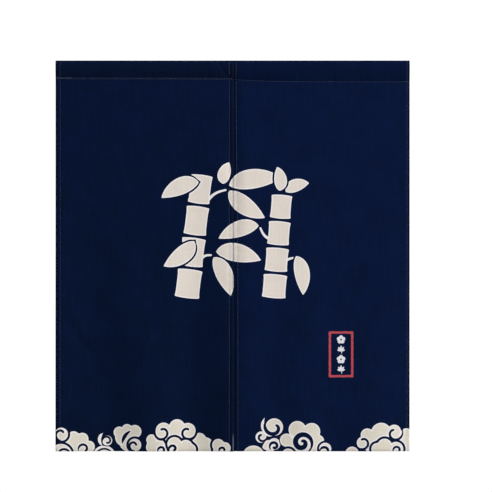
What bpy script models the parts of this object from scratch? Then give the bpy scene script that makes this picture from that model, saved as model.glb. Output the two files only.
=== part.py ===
"""A two-panel noren: a short printed cloth that hangs in a doorway, split down the middle.

The frame is +Z up with +X to the viewer's right and the printed face towards -Y.
The origin is the middle of the top edge, where the cloth hangs. All sizes are in metres.
"""

import math

import bmesh
import bpy

# Overall size: two panels that lap a little at the slit.
DROP = 0.900
PANEL_WIDTH = 0.410
SLIT_LAP = 0.005
LEFT_EDGE = -PANEL_WIDTH + SLIT_LAP / 2
RIGHT_EDGE = -LEFT_EDGE

# Cloth, and the clearance between neighbouring pieces.
CLOTH = 0.0012
HEM_CLOTH = 0.0022
GAP = 0.0003
LOWER_HEM = 0.006
HEM_STEP = 0.0012

# Widths of each panel's turned side hems, left and right, and the depth of each rod pocket from
# its top fold to its seam, which settles from its depth at the slit to its depth at the side.
LEFT_HEMS = (0.0105, 0.0102)
RIGHT_HEMS = (0.0125, 0.0060)
LEFT_POCKET = {"at_slit": 0.0412, "at_side": 0.0403, "settles_over": 0.200}
RIGHT_POCKET = {"at_slit": 0.0433, "at_side": 0.0491, "settles_over": 0.060}
POCKET_HALF_OPENING = 0.0055

# The most that sin(turn) * sin(turn / 2) reaches, which scales a pocket's drop-shaped section.
DROP_SECTION_PEAK = 4.0 / (3.0 * math.sqrt(3.0))

# Folds, one row each. A fold runs from x_top at the seam to x_hem at the lower edge, its centre
# moving sideways evenly. It starts at height z_start, is full at the lower edge, and stands
# "forward" metres out of the flat cloth there, or into it where that is negative.
FOLD_COLUMNS = ("x_top", "x_hem", "width", "z_start", "forward")
LEFT_FOLDS = (
    (-0.400, -0.410, 0.042, -0.060, 0.0064),
    (-0.420, -0.272, 0.045, -0.160, -0.0060),
    (-0.300, -0.176, 0.052, -0.180, 0.0052),
    (-0.070, -0.100, 0.048, -0.060, -0.0056),
    (0.026, 0.020, 0.066, -0.100, 0.0088),
)
RIGHT_FOLDS = (
    (0.085, 0.104, 0.040, -0.080, -0.0022),
    (0.150, 0.172, 0.046, -0.220, 0.0018),
    (0.235, 0.250, 0.040, -0.340, -0.0014),
    (0.330, 0.322, 0.050, -0.140, 0.0018),
    (0.405, 0.412, 0.045, -0.060, -0.0050),
)

# The right panel's inner edge lies this far back, behind the left panel's. It comes forward again
# over a width that grows from the seam to the lower edge.
TUCK = 0.0034
TUCK_WIDTH_AT_SEAM = 0.010
TUCK_WIDTH_AT_HEM = 0.034

# Mesh density: steps across and down each panel, and along and around each pocket.
COLUMNS = 32
ROWS = 32
POCKET_STATIONS = 16
POCKET_SIDES = 24

# Dyed cotton, in linear colour: the printed panels, and the pockets, which look a little darker.
NAVY = (0.0033, 0.0080, 0.0305, 1.0)
NAVY_POCKET = (0.0030, 0.0070, 0.0245, 1.0)
COTTON_ROUGHNESS = 0.9


def clear_scene():
    """Remove whatever the scene holds."""
    for thing in list(bpy.data.objects):
        bpy.data.objects.remove(thing, do_unlink=True)


def smooth(value):
    """Ease from 0 to 1 as value goes from 0 to 1."""
    value = min(max(value, 0.0), 1.0)
    return value * value * (3.0 - 2.0 * value)


def cotton(name, colour):
    """Make a plain matt cotton material."""
    material = bpy.data.materials.new(name)
    material.use_nodes = True
    surface = material.node_tree.nodes["Principled BSDF"]
    surface.inputs["Base Color"].default_value = colour
    surface.inputs["Roughness"].default_value = COTTON_ROUGHNESS
    surface.inputs["Metallic"].default_value = 0.0
    return material


def seam_depth(pocket, distance):
    """Depth of a pocket's seam below the top fold, at a distance from the slit."""
    settled = math.exp(-distance / pocket["settles_over"])
    end = math.exp(-PANEL_WIDTH / pocket["settles_over"])
    share = (settled - end) / (1.0 - end)
    return pocket["at_side"] + (pocket["at_slit"] - pocket["at_side"]) * share


def drape(folds, x, z):
    """How far the flat cloth is pushed away from the viewer at x, z."""
    depth = 0.0
    for row in folds:
        fold = dict(zip(FOLD_COLUMNS, row))
        down = -z / DROP
        centre = fold["x_top"] + (fold["x_hem"] - fold["x_top"]) * down
        grown = smooth((fold["z_start"] - z) / (fold["z_start"] + DROP))
        across = (x - centre) / fold["width"]
        depth -= fold["forward"] * grown * math.exp(-across * across)
    return depth


def tuck_behind(x, z):
    """How far the right panel is tucked back behind the left panel at x, z."""
    width = TUCK_WIDTH_AT_SEAM + (TUCK_WIDTH_AT_HEM - TUCK_WIDTH_AT_SEAM) * -z / DROP
    return TUCK * (1.0 - smooth((x - SLIT_LAP / 2) / width))


def evenly(start, end, steps):
    """Evenly spaced places from start to end, both included."""
    return [start + (end - start) * step / steps for step in range(steps + 1)]


def panel(name, material, span, hems, pocket, folds, tucked=False):
    """Make one hanging cloth, with thicker turned hems on its back, as a closed sheet."""
    left, right = span
    left_hem, right_hem = left + hems[0], right - hems[1]
    lower_hem = -DROP + LOWER_HEM
    columns = [left, *evenly(left_hem + HEM_STEP, right_hem - HEM_STEP, COLUMNS), right]
    columns += [left_hem, right_hem]
    if tucked:
        columns.append(SLIT_LAP / 2 + GAP)
    columns.sort()

    def rows_at(x):
        """Heights of the rows at x, from the seam to the lower edge."""
        seam = -seam_depth(pocket, abs(x)) - GAP
        return [*evenly(seam, lower_hem + HEM_STEP, ROWS), lower_hem, -DROP]

    def front(x, z):
        """The cloth's front face at x, z."""
        return drape(folds, x, z) + (tuck_behind(x, z) if tucked else 0.0) - CLOTH / 2

    def thickness(x, z):
        """The cloth's thickness at x, z, which is more over a turned hem."""
        near = HEM_STEP / 2
        hemmed = x < left_hem + near or x > right_hem - near or z < lower_hem + near
        return HEM_CLOTH if hemmed else CLOTH

    bm = bmesh.new()
    last_column, last_row = len(columns) - 1, ROWS + 2
    bmesh.ops.create_grid(bm, x_segments=last_column, y_segments=last_row, size=0.5)
    for vert in bm.verts:
        x = columns[round((vert.co.x + 0.5) * last_column)]
        z = rows_at(x)[round((0.5 - vert.co.y) * last_row)]
        vert.co = (x, front(x, z), z)
    doubled = bmesh.ops.extrude_face_region(bm, geom=bm.faces[:], use_keep_orig=True)["geom"]
    for part in doubled:
        if isinstance(part, bmesh.types.BMVert):
            part.co.y += thickness(part.co.x, part.co.z)
    return finish(name, bm, material)


def heading(name, material, span, pocket):
    """Make one rod pocket: the turned-over strip, sewn along its lower edge, open at both ends.

    Its section is a drop: a round fold at the top, fullest in its upper third where a rod hangs,
    and two walls that close to a sharp seam at the bottom.
    """
    left, right = span
    bm = bmesh.new()
    bmesh.ops.create_grid(bm, x_segments=POCKET_STATIONS, y_segments=POCKET_SIDES, size=0.5)
    for vert in bm.verts:
        x = left + (right - left) * (vert.co.x + 0.5)
        turn = 2.0 * math.pi * (vert.co.y + 0.5)
        height = seam_depth(pocket, abs(x)) - 2 * CLOTH
        y = POCKET_HALF_OPENING * math.sin(turn) * math.sin(turn / 2) / DROP_SECTION_PEAK
        z = -CLOTH - height * (1.0 + math.cos(turn)) / 2
        vert.co = (x, y, z)
    bmesh.ops.remove_doubles(bm, verts=bm.verts[:], dist=GAP / 10)
    piece = finish(name, bm, material)
    wall = piece.modifiers.new("wall", "SOLIDIFY")
    wall.thickness = CLOTH
    wall.offset = 1.0
    return piece


def finish(name, bm, material):
    """Turn a bmesh into a named object with its faces pointing out."""
    bmesh.ops.recalc_face_normals(bm, faces=bm.faces[:])
    mesh = bpy.data.meshes.new(name)
    bm.to_mesh(mesh)
    bm.free()
    mesh.shade_smooth()
    mesh.set_sharp_from_angle(angle=math.radians(40.0))
    mesh.materials.append(material)
    piece = bpy.data.objects.new(name, mesh)
    bpy.context.scene.collection.objects.link(piece)
    return piece


def build():
    """Make the two panels and their rod pockets."""
    clear_scene()
    cloth = cotton("navy_cotton", NAVY)
    turned = cotton("navy_cotton_pocket", NAVY_POCKET)
    lap = SLIT_LAP / 2
    panel("panel_left", cloth, (LEFT_EDGE, lap), LEFT_HEMS, LEFT_POCKET, LEFT_FOLDS)
    panel("panel_right", cloth, (-lap, RIGHT_EDGE), RIGHT_HEMS, RIGHT_POCKET, RIGHT_FOLDS, tucked=True)
    heading("heading_left", turned, (LEFT_EDGE, lap), LEFT_POCKET)
    heading("heading_right", turned, (lap + GAP, RIGHT_EDGE), RIGHT_POCKET)


if __name__ == "__main__":
    build()
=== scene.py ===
"""Looks of a two-panel noren: printed slub cotton, sewn rod pockets, thread, light and camera.

Cloth sizes are in metres, in the frame's axes: X to the viewer's right, Z up from the top edge and
the printed face towards -Y. The print's tables are in millimetres: "across" is to the right of the
noren's middle and "up" is above its lower edge.
"""

import logging
import math
from collections.abc import Callable
from dataclasses import dataclass, field, replace
from enum import Enum

import bmesh
import bpy
import numpy as np
from mathutils import Matrix, Vector

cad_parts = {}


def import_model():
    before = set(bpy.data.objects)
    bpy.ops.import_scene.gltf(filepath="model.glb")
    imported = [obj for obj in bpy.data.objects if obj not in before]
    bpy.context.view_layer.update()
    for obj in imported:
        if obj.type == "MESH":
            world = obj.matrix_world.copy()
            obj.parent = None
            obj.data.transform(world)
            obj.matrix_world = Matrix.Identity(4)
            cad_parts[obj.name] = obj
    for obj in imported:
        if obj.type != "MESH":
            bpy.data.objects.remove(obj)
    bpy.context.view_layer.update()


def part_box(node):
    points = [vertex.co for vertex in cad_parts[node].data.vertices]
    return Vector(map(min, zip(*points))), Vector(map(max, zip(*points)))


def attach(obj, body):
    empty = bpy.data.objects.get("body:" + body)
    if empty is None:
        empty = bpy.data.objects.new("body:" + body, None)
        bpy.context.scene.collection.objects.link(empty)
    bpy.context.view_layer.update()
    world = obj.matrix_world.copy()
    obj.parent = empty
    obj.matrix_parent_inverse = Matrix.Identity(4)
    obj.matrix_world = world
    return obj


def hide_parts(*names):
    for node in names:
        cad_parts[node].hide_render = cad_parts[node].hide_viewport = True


Array = np.ndarray
Piece = bpy.types.Object
Finish = bpy.types.Material
Tree = bpy.types.NodeTree
Socket = bpy.types.NodeSocket

LOG = logging.getLogger("noren")
MM = 0.001
DROP = 0.900
BORDER_ACROSS = 249.6
PRINT_COLUMNS = ("cloud_print", "bamboo_print", "border_print", "figure_print")


def smooth(value: Array | float) -> Array | float:
    """Ease from 0 to 1 as value goes from 0 to 1.

    Args:
        value: a number or an array; it is clipped to 0..1 first.

    Returns:
        The eased value, of the same shape.
    """
    value = np.clip(value, 0.0, 1.0)
    return value * value * (3.0 - 2.0 * value)


def bell(away: Array | float, width: float) -> Array | float:
    """A soft bell that is 1 where away is 0 and has almost died out at twice the width."""
    return np.exp(-((away / width) ** 2))


def ripple(along: Array | float, pitch: float, shift: float = 0.0) -> Array | float:
    """An uneven wave from -1 to 1, the same each run.

    Args:
        along: distance along the wave, in metres.
        pitch: rough distance between crests, in metres.
        shift: moves the wave along, so that two of them differ.

    Returns:
        The wave's height at each place.
    """
    turns = 2.0 * math.pi * (along / pitch + shift)
    return 0.5 * np.sin(turns) + 0.3 * np.sin(1.618 * turns + 1.3) + 0.2 * np.sin(0.414 * turns + 2.1)


# Marks of the print. Each one works out a signed distance in millimetres, negative inside.


class Ink(Enum):
    """What a mark does: lays ink on the cloth, or keeps the dyed ground bare."""

    LAID = "laid"
    BARE = "bare"


@dataclass(frozen=True, kw_only=True)
class Mark:
    """One mark of a print.

    Attributes:
        ink: whether the mark is ink or bare ground.
        rim: width of bare ground kept round an inked mark, in millimetres.
    """

    ink: Ink = Ink.LAID
    rim: float = 0.0

    def distance(self, at: Array) -> Array:
        """Signed distance from each place to the mark's edge.

        Args:
            at: places as rows of (across, up), in millimetres.

        Returns:
            One distance for each place, negative inside the mark.
        """
        raise NotImplementedError

    def print_on(self, cloth: Array, at: Array) -> Array:
        """Lay the mark over what is already printed.

        Args:
            cloth: distance from each place to the edge of the ink so far.
            at: the places.

        Returns:
            The distances with this mark added.
        """
        gap = self.distance(at)
        if self.ink is Ink.BARE:
            return np.maximum(cloth, -gap)
        if self.rim:
            cloth = np.maximum(cloth, self.rim - gap)
        return np.minimum(cloth, gap)


@dataclass(frozen=True)
class Cloud(Mark):
    """A cloud's body of rounded lobes that run together softly.

    Attributes:
        lobes: each lobe's across, up and radius.
        blend: width over which the notches between lobes are eased.
    """

    lobes: tuple[tuple[float, float, float], ...]
    blend: float = field(default=2.4, kw_only=True)

    def distance(self, at: Array) -> Array:
        """Distance to the lobes, with their notches eased.

        Args:
            at: places as rows of (across, up), in millimetres.

        Returns:
            One distance for each place, negative inside.
        """
        found = None
        for across, up, radius in self.lobes:
            lobe = np.hypot(at[:, 0] - across, at[:, 1] - up) - radius
            if found is None:
                found = lobe
                continue
            near = np.maximum(self.blend - np.abs(found - lobe), 0.0) / self.blend
            found = np.minimum(found, lobe) - near * near * self.blend / 4
        return found


@dataclass(frozen=True, kw_only=True)
class Stroke(Mark):
    """A brush stroke along a path that each kind of stroke works out.

    Attributes:
        far: distance past the stroke at which places no longer count as near it.
    """

    far: float = 6.0

    def path(self) -> tuple[Array, Array]:
        """Work out where the stroke runs.

        Returns:
            The middle line, as rows of (across, up), and the half width at each row.
        """
        raise NotImplementedError

    def distance(self, at: Array) -> Array:
        """Distance to the stroke, worked out for the places near it alone.

        Args:
            at: places as rows of (across, up), in millimetres.

        Returns:
            One distance for each place, negative inside.
        """
        line, half = self.path()
        reach = half.max() + self.far
        low, high = line.min(axis=0) - reach, line.max(axis=0) + reach
        near = ((at > low) & (at < high)).all(axis=1)
        found = np.full(len(at), reach)
        places = at[near]
        best = np.full(len(places), reach)
        for start, end, from_half, to_half in zip(line, line[1:], half, half[1:]):
            step = end - start
            share = np.clip((places - start) @ step / max(step @ step, 1e-9), 0.0, 1.0)
            away = np.linalg.norm(places - start - share[:, None] * step, axis=1)
            best = np.minimum(best, away - from_half - (to_half - from_half) * share)
        found[near] = best
        return found


@dataclass(frozen=True)
class Curl(Stroke):
    """A stroke that winds round a centre, as in a scroll.

    Attributes:
        across, up: the centre.
        from_radius, to_radius: distances from the centre where it starts and ends.
        from_angle, sweep: where it starts and how far it winds, in degrees anticlockwise.
        width: the stroke's width.
        swell: how much wider it is in its middle.
    """

    across: float
    up: float
    from_radius: float
    to_radius: float
    from_angle: float
    sweep: float
    width: float = 4.6
    swell: float = 0.0

    def path(self) -> tuple[Array, Array]:
        """Work out the spiral, which thins towards its start.

        Returns:
            The middle line, as rows of (across, up), and the half width at each row.
        """
        steps = max(8, round(abs(self.sweep) / 7.0))
        share = np.linspace(0.0, 1.0, steps + 1)
        angle = np.radians(self.from_angle + self.sweep * share)
        radius = self.from_radius + (self.to_radius - self.from_radius) * share
        line = np.stack([self.across + radius * np.cos(angle), self.up + radius * np.sin(angle)], axis=1)
        half = self.width / 2 * (0.4 + 0.6 * smooth(4.0 * share))
        return line, half + self.swell / 2 * np.sin(np.pi * share)


@dataclass(frozen=True)
class Leaf(Mark):
    """A pointed leaf between two arcs.

    Attributes:
        across, up: its stalk's end.
        length, width: its size.
        angle: the way its tip points, in degrees anticlockwise from the right.
        bow: how far its middle is bowed sideways.
    """

    across: float
    up: float
    length: float
    width: float
    angle: float
    bow: float = 0.0

    def distance(self, at: Array) -> Array:
        """Distance to the leaf, which is fullest nearer to its stalk.

        Args:
            at: places as rows of (across, up), in millimetres.

        Returns:
            One distance for each place, negative inside.
        """
        turn = math.radians(self.angle)
        ahead = np.array([math.cos(turn), math.sin(turn)])
        offset = at - (self.across, self.up)
        share = offset @ ahead / self.length
        aside = offset @ np.array([-ahead[1], ahead[0]])
        kept = np.clip(share, 0.0, 1.0)
        along = self.length * (kept**0.8 + share - kept - 0.5)
        edges = []
        for side, rise in ((1.0, self.width / 2 + self.bow), (-1.0, self.width / 2 - self.bow)):
            radius = (self.length**2 / 4 + rise**2) / (2.0 * abs(rise))
            outward = math.copysign(1.0, rise)
            middle = side * outward * (abs(rise) - radius)
            edges.append(outward * (np.hypot(along, aside - middle) - radius))
        return np.maximum(*edges)


@dataclass(frozen=True)
class Twig(Stroke):
    """A thin stroke between two places, bowed in its middle.

    Attributes:
        start, end: where it starts and where it ends.
        width: its width where it starts.
        bow: how far its middle is bowed sideways.
    """

    start: tuple[float, float]
    end: tuple[float, float]
    width: float = 4.5
    bow: float = 6.0

    def path(self) -> tuple[Array, Array]:
        """Work out the bowed line, which thins to its end.

        Returns:
            The middle line, as rows of (across, up), and the half width at each row.
        """
        share = np.linspace(0.0, 1.0, 9)
        start, end = np.array(self.start), np.array(self.end)
        aside = np.array([start[1] - end[1], end[0] - start[0]])
        aside = aside / np.linalg.norm(aside)
        line = start + np.outer(share, end - start) + np.outer(self.bow * np.sin(np.pi * share), aside)
        return line, self.width / 2 * (1.0 - 0.35 * share)


@dataclass(frozen=True)
class Cane(Mark):
    """One joint of a bamboo cane between two places, waisted, with softly bowed ends.

    Attributes:
        start, end: the middles of its two ends.
        width: its width.
        flare: how far each side curves out from its waist to its ends.
        end_bow: how far the middle of each end stands out past its corners.
        corner: radius of its corners.
    """

    start: tuple[float, float]
    end: tuple[float, float]
    width: float
    flare: float = 2.6
    end_bow: float = 2.2
    corner: float = 3.0

    def distance(self, at: Array) -> Array:
        """Distance to the waisted joint.

        Args:
            at: places as rows of (across, up), in millimetres.

        Returns:
            One distance for each place, negative inside.
        """
        start, end = np.array(self.start), np.array(self.end)
        length = float(np.linalg.norm(end - start))
        ahead = (end - start) / length
        offset = at - (start + end) / 2
        along = offset @ ahead
        aside = offset @ np.array([-ahead[1], ahead[0]])
        share = 2.0 * along / length
        sides = np.abs(aside) - self.width / 2 - self.flare * share**4 + 0.6 * self.flare
        ends = np.abs(along) - length / 2 + self.end_bow * (2.0 * aside / self.width) ** 2
        sides, ends = sides + self.corner, ends + self.corner
        outside = np.hypot(np.maximum(sides, 0.0), np.maximum(ends, 0.0)) - self.corner
        return outside + np.minimum(np.maximum(sides, ends), 0.0)


@dataclass(frozen=True)
class Border(Mark):
    """A brushed rectangular border.

    Attributes:
        across, up: its centre.
        width, height: its size, from the middle of one line to the middle of the other.
        line: the line's width.
        waver: how far the line's edges waver, as a brushed line's do.
    """

    across: float
    up: float
    width: float
    height: float
    line: float
    waver: float = 0.45

    def distance(self, at: Array) -> Array:
        """Distance to the line.

        Args:
            at: places as rows of (across, up), in millimetres.

        Returns:
            One distance for each place, negative inside.
        """
        x, up = at[:, 0] - self.across, at[:, 1] - self.up
        reach = np.stack([np.abs(x) - self.width / 2, np.abs(up) - self.height / 2], axis=1)
        outside = np.linalg.norm(np.maximum(reach, 0.0), axis=1)
        edge = outside + np.minimum(reach.max(axis=1), 0.0)
        return np.abs(edge) - self.line / 2 - self.waver * ripple(x + 1.7 * up, 23.0)


def blossom(across: float, up: float, size: float) -> list[Mark]:
    """A five-petalled blossom.

    Args:
        across: the middle's place to the right of the noren's middle.
        up: the middle's place above the lower edge.
        size: the blossom's width.

    Returns:
        Its petals, with a bare eye.
    """
    angles = [math.radians(90 + 72 * petal) for petal in range(5)]
    reach, radius = 0.27 * size, 0.22 * size
    petals = tuple((across + reach * math.cos(a), up + reach * math.sin(a), radius) for a in angles)
    return [Cloud(petals), Cloud(((across, up, 0.075 * size),), ink=Ink.BARE)]


def maple(across: float, up: float, size: float) -> list[Mark]:
    """A five-pointed maple leaf.

    Args:
        across: its middle's place to the right of the noren's middle.
        up: its middle's place above the lower edge.
        size: its width.

    Returns:
        Its stalk and its five points.
    """
    low = up - 0.16 * size
    points = ((18, 0.46), (54, 0.56), (90, 0.64), (126, 0.56), (162, 0.46))
    leaves: list[Mark] = [Leaf(across, low, size * long, 0.24 * size, angle) for angle, long in points]
    stalk = Twig((across, low), (across + 0.05 * size, low - 0.32 * size), width=0.14 * size, bow=0.8)
    return [stalk, *leaves]


def cloud_border() -> list[Mark]:
    """The band of scrolling clouds along the lower edge.

    Returns:
        The marks, in the order in which they overlap.
    """
    rim = 4.6
    return [
        # far left, with a scroll at the side edge and one low on the right
        Cloud(
            (
                (-366, 32, 15), (-346, 29, 14.5), (-360, 12, 20), (-380, 22, 14), (-340, 12, 13),
                (-331, 11, 14),
            ),
        ),
        Curl(-343, 6, 12.5, 6.5, 195, -240, ink=Ink.BARE),
        Cloud(((-395, -8, 26),), rim=rim),
        Curl(-389, -8, 15, 13, 10, 120, width=4.4, ink=Ink.BARE),
        Cloud(((-394, 40, 15.5),), rim=rim),
        Curl(-394, 40, 17.5, 6.5, -62, -248, ink=Ink.BARE),
        # a low dome with a small curl over it
        Cloud(((-296, -13, 27),)),
        Curl(-296, -14, 20, 20, 24, 122, width=3.6, ink=Ink.BARE),
        Curl(-290, 25, 19, 15, 118, 100, width=4.5, swell=3.5),
        Cloud(((-289, 25, 12),), rim=1.6),
        Curl(-289, 24, 13.5, 4, 232, -330, width=3.9, ink=Ink.BARE),
        # an upright cloud with a long inner leaf
        Cloud(
            (
                (-261, 44, 13.5), (-243, 51, 12.5), (-225, 46, 15.5), (-251, 32, 20), (-243, 18, 17),
                (-236, 5, 13),
            ),
        ),
        Cloud(((-225, 15, 15),), rim=rim),
        Curl(-219, 16, 35, 35, 176, -56, width=2.2, swell=5.4, ink=Ink.BARE),
        Curl(-228, 13, 11.5, 6.5, -80, -255, ink=Ink.BARE),
        # the tall cloud left of the slit: shoulders, then its head, then the cloud nested in it
        Cloud(((-186, 27, 13), (-183, 10, 16.5), (-166, 10, 18))),
        Curl(-163, 3, 9.5, 4.5, 195, -215, ink=Ink.BARE),
        Cloud(((-77, 26, 17), (-61, 17, 15.5), (-93, 14, 20), (-64, 6, 18))),
        Cloud(
            (
                (-159, 49, 18), (-128, 56, 18.5), (-103, 48, 18), (-133, 36, 24), (-163, 44, 14),
                (-101, 42, 13),
            ),
            rim=rim,
        ),
        Curl(-162, 44, 19, 7, 190, 274, ink=Ink.BARE),
        Curl(-104, 44, 19, 7, -10, -274, ink=Ink.BARE),
        Cloud(((-134, 17, 16.5), (-108, 11, 16), (-98, 4, 14), (-128, 4, 18)), rim=rim),
        Curl(-137, 6, 10, 4, 200, -250, width=5.2, ink=Ink.BARE),
        # a small cloud at the slit
        Cloud(((-33, 15, 14.5), (-18, 8, 14), (-28, 1, 17)), rim=rim),
        Curl(-23, 3, 8.5, 4, 195, -190, ink=Ink.BARE),
        # right of the slit: a dome, a small curl and the comma-shaped scroll above them
        Cloud(((48, -12, 26),)),
        Cloud(((66, 33, 13.5),)),
        Curl(67, 34, 15.5, 4, 62, -308, width=4.4, ink=Ink.BARE),
        Cloud(((96, 56, 20.5), (84, 42, 8)), blend=6.0),
        Curl(96, 56, 31, 20, 134, 108, width=2.4, swell=7.0),
        Curl(96, 56, 25, 6.5, 133, 262, width=5.2, swell=2.8, ink=Ink.BARE),
        Cloud(((96, 17, 14), (82, 17, 9.5), (76, 11, 7.5), (86, 4, 9)), rim=1.8),
        Curl(96, 12, 11.5, 3.5, 215, -320, width=5.6, ink=Ink.BARE),
        # the flower cloud round a bold spiral
        Cloud(
            (
                (149, 50, 20.5), (182, 46, 20), (124, 26, 15.5), (196, 24, 15), (160, 20, 27), (184, 6, 19),
                (136, 8, 14),
            ),
            rim=1.5,
        ),
        Curl(160, 20, 25, 4, -58, 500, width=6.0, swell=5.4, ink=Ink.BARE),
        Cloud(((128, -8, 15),), rim=rim),
        Cloud(((213, 6, 14.5),), rim=4.0),
        Curl(212, 0, 11.5, 6.5, 172, -230, width=5.4, ink=Ink.BARE),
        # far right: a low dome, then a broad cloud with a nested one
        Cloud(((275, -4, 15.5),)),
        Cloud(
            (
                (310, 38, 15.5), (342, 43, 23.5), (372, 46, 16), (400, 39, 14.5), (328, 19, 27),
                (367, 17, 28), (300, 20, 14.5), (393, 10, 24),
            ),
            rim=1.5,
        ),
        Curl(300, 20, 17, 8, -158, 265, ink=Ink.BARE),
        Curl(373, 42, 19.5, 8, 22, -270, ink=Ink.BARE),
        Cloud(((333, 6, 14), (350, 13, 17), (376, 5, 17.5), (355, 0, 18)), rim=rim),
        Curl(379, 3, 10, 5, 195, -210, width=4.4, ink=Ink.BARE),
    ]


def bamboo() -> list[Mark]:
    """Two bold bamboo canes with drooping leaves, spread over both panels.

    Returns:
        The joints, the twigs and then the leaves, which keep a bare rim where they overlap.
    """
    marks: list[Mark] = []
    canes = (
        # foot, head, width at the foot, joints
        ((-106.0, 350.0), (-70.0, 640.0), 58.0, 4),
        ((94.0, 350.0), (114.0, 594.0), 56.0, 4),
    )
    for foot, head, width, joints in canes:
        foot, head = np.array(foot), np.array(head)
        step = (head - foot) / joints
        slack = 2.6 * step / np.linalg.norm(step)
        for joint in range(joints):
            low, high = foot + step * joint + slack, foot + step * (joint + 1) - slack
            marks.append(Cane(tuple(low), tuple(high), width * (1.0 - 0.04 * joint)))
    twigs = (
        ((-60.0, 574.0), (-16.0, 602.0)),
        ((-76.0, 436.0), (-50.0, 452.0)),
        ((94.0, 486.0), (64.0, 514.0)),
        ((112.0, 424.0), (142.0, 446.0)),
    )
    marks += [Twig(start, end, width=8.0) for start, end in twigs]
    leaves = (
        # across, up, length, width, angle, bow
        (-8.0, 612.0, 124.0, 46.0, 8.0, 8.0),
        (-8.0, 600.0, 104.0, 42.0, -37.0, -6.0),
        (-22.0, 616.0, 52.0, 30.0, 74.0, 4.0),
        (-38.0, 460.0, 106.0, 43.0, -11.0, 7.0),
        (-44.0, 447.0, 98.0, 40.0, -66.0, 7.0),
        (60.0, 520.0, 98.0, 38.0, 198.0, -7.0),
        (146.0, 450.0, 92.0, 36.0, -80.0, 7.0),
        (122.0, 598.0, 58.0, 30.0, 20.0, 6.0),
        (108.0, 600.0, 56.0, 30.0, 96.0, -5.0),
        (-88.0, 484.0, 92.0, 40.0, 219.0, 7.0),
        (-78.0, 620.0, 94.0, 40.0, 203.0, -8.0),
    )
    return marks + [Leaf(*leaf, rim=3.4) for leaf in leaves]


def side_marks() -> list[Mark]:
    """The white figures that stand one above another in the red border.

    Returns:
        Blossoms and maple leaves by turns.
    """
    marks: list[Mark] = []
    for place, up in enumerate((257.5, 235.0, 212.0, 189.5)):
        figure, size = ((blossom, 21.5), (maple, 22.5))[place % 2]
        marks += figure(BORDER_ACROSS, up, size)
    return marks


@dataclass(frozen=True)
class Artwork:
    """The whole print, one list of marks for each of its four designs.

    Attributes:
        clouds, bamboo, border, figures: the designs.
        bare_cloth: what the distance to the ink counts as, in millimetres, where none is near.
    """

    clouds: list[Mark] = field(default_factory=cloud_border)
    bamboo: list[Mark] = field(default_factory=bamboo)
    border: list[Mark] = field(default_factory=lambda: [Border(BORDER_ACROSS, 223.6, 51.4, 100.6, 6.2)])
    figures: list[Mark] = field(default_factory=side_marks)
    bare_cloth: float = 60.0

    def distances(self, across: Array, up: Array) -> dict[str, Array]:
        """How far each place lies from the edge of each ink.

        Args:
            across: places to the right of the middle, in millimetres.
            up: places above the lower edge, in millimetres.

        Returns:
            One array for each name in PRINT_COLUMNS, negative where there is ink.
        """
        at = np.stack([across, up], axis=1)
        found = {}
        for name, marks in zip(PRINT_COLUMNS, (self.clouds, self.bamboo, self.border, self.figures)):
            cloth = np.full(len(at), self.bare_cloth)
            for mark in marks:
                cloth = mark.print_on(cloth, at)
            found[name] = cloth
        return found

    def print_on(self, piece: Piece, bare_and_slit_shade: Callable[..., Array]) -> None:
        """Keep each design's distance on a hung piece's points.

        Args:
            piece: the piece.
            bare_and_slit_shade: a function from arrays of x, y and z to the least that each point's
                distance
            to the ink's edge counts as, in millimetres; it keeps ground bare and, on a panel, thins the ink
            along the slit as painted shade.
        """
        mesh = piece.data
        places = np.empty(3 * len(mesh.vertices))
        mesh.vertices.foreach_get("co", places)
        x, y, z = places.reshape(-1, 3).T
        bare = bare_and_slit_shade(x, y, z)
        for name, distance in self.distances(x / MM, (z + DROP) / MM).items():
            layer = mesh.attributes.new(name, "FLOAT", "POINT")
            layer.data.foreach_set("value", np.maximum(distance, bare).astype(np.float32))


# How the cloth hangs.


@dataclass(frozen=True)
class Fold:
    """A long fold down the cloth, full at the lower edge.

    Attributes:
        x_top, x_hem: where its middle lies at the top and at the lower edge.
        width: how far it reaches to either side.
        z_start: height at which it starts.
        forward: how far it stands out of the flat cloth, or into it where that is negative.
    """

    x_top: float
    x_hem: float
    width: float
    z_start: float
    forward: float

    def push(self, x: Array, z: Array) -> Array:
        """How far the fold pushes the cloth away from the viewer.

        Args:
            x: places across.
            z: their heights.

        Returns:
            How far back each place goes, in metres.
        """
        centre = self.x_top + (self.x_hem - self.x_top) * -z / DROP
        grown = smooth((self.z_start - z) / (self.z_start + DROP))
        return -self.forward * grown * bell(x - centre, self.width)


@dataclass(frozen=True)
class Crease:
    """A short soft crease between two places of the cloth.

    Attributes:
        start, end: the two places, as x and z.
        width: how far it reaches to either side.
        forward: how far it stands out of the cloth, or into it where that is negative.
    """

    start: tuple[float, float]
    end: tuple[float, float]
    width: float
    forward: float

    def push(self, x: Array, z: Array) -> Array:
        """How far the crease pushes the cloth away from the viewer.

        Args:
            x: places across.
            z: their heights.

        Returns:
            How far back each place goes, in metres.
        """
        (x0, z0), (x1, z1) = self.start, self.end
        length = math.hypot(x1 - x0, z1 - z0)
        ahead = ((x1 - x0) / length, (z1 - z0) / length)
        along = ((x - x0) * ahead[0] + (z - z0) * ahead[1]) / length
        aside = (x - x0) * ahead[1] - (z - z0) * ahead[0]
        ends = smooth(1.5 + 2.0 * along) * smooth(1.5 + 2.0 * (1.0 - along))
        over = np.clip(along, 0.0, 1.0) - along
        return -self.forward * ends * np.exp(-((aside / self.width) ** 2) - (2.2 * over) ** 2)


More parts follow.
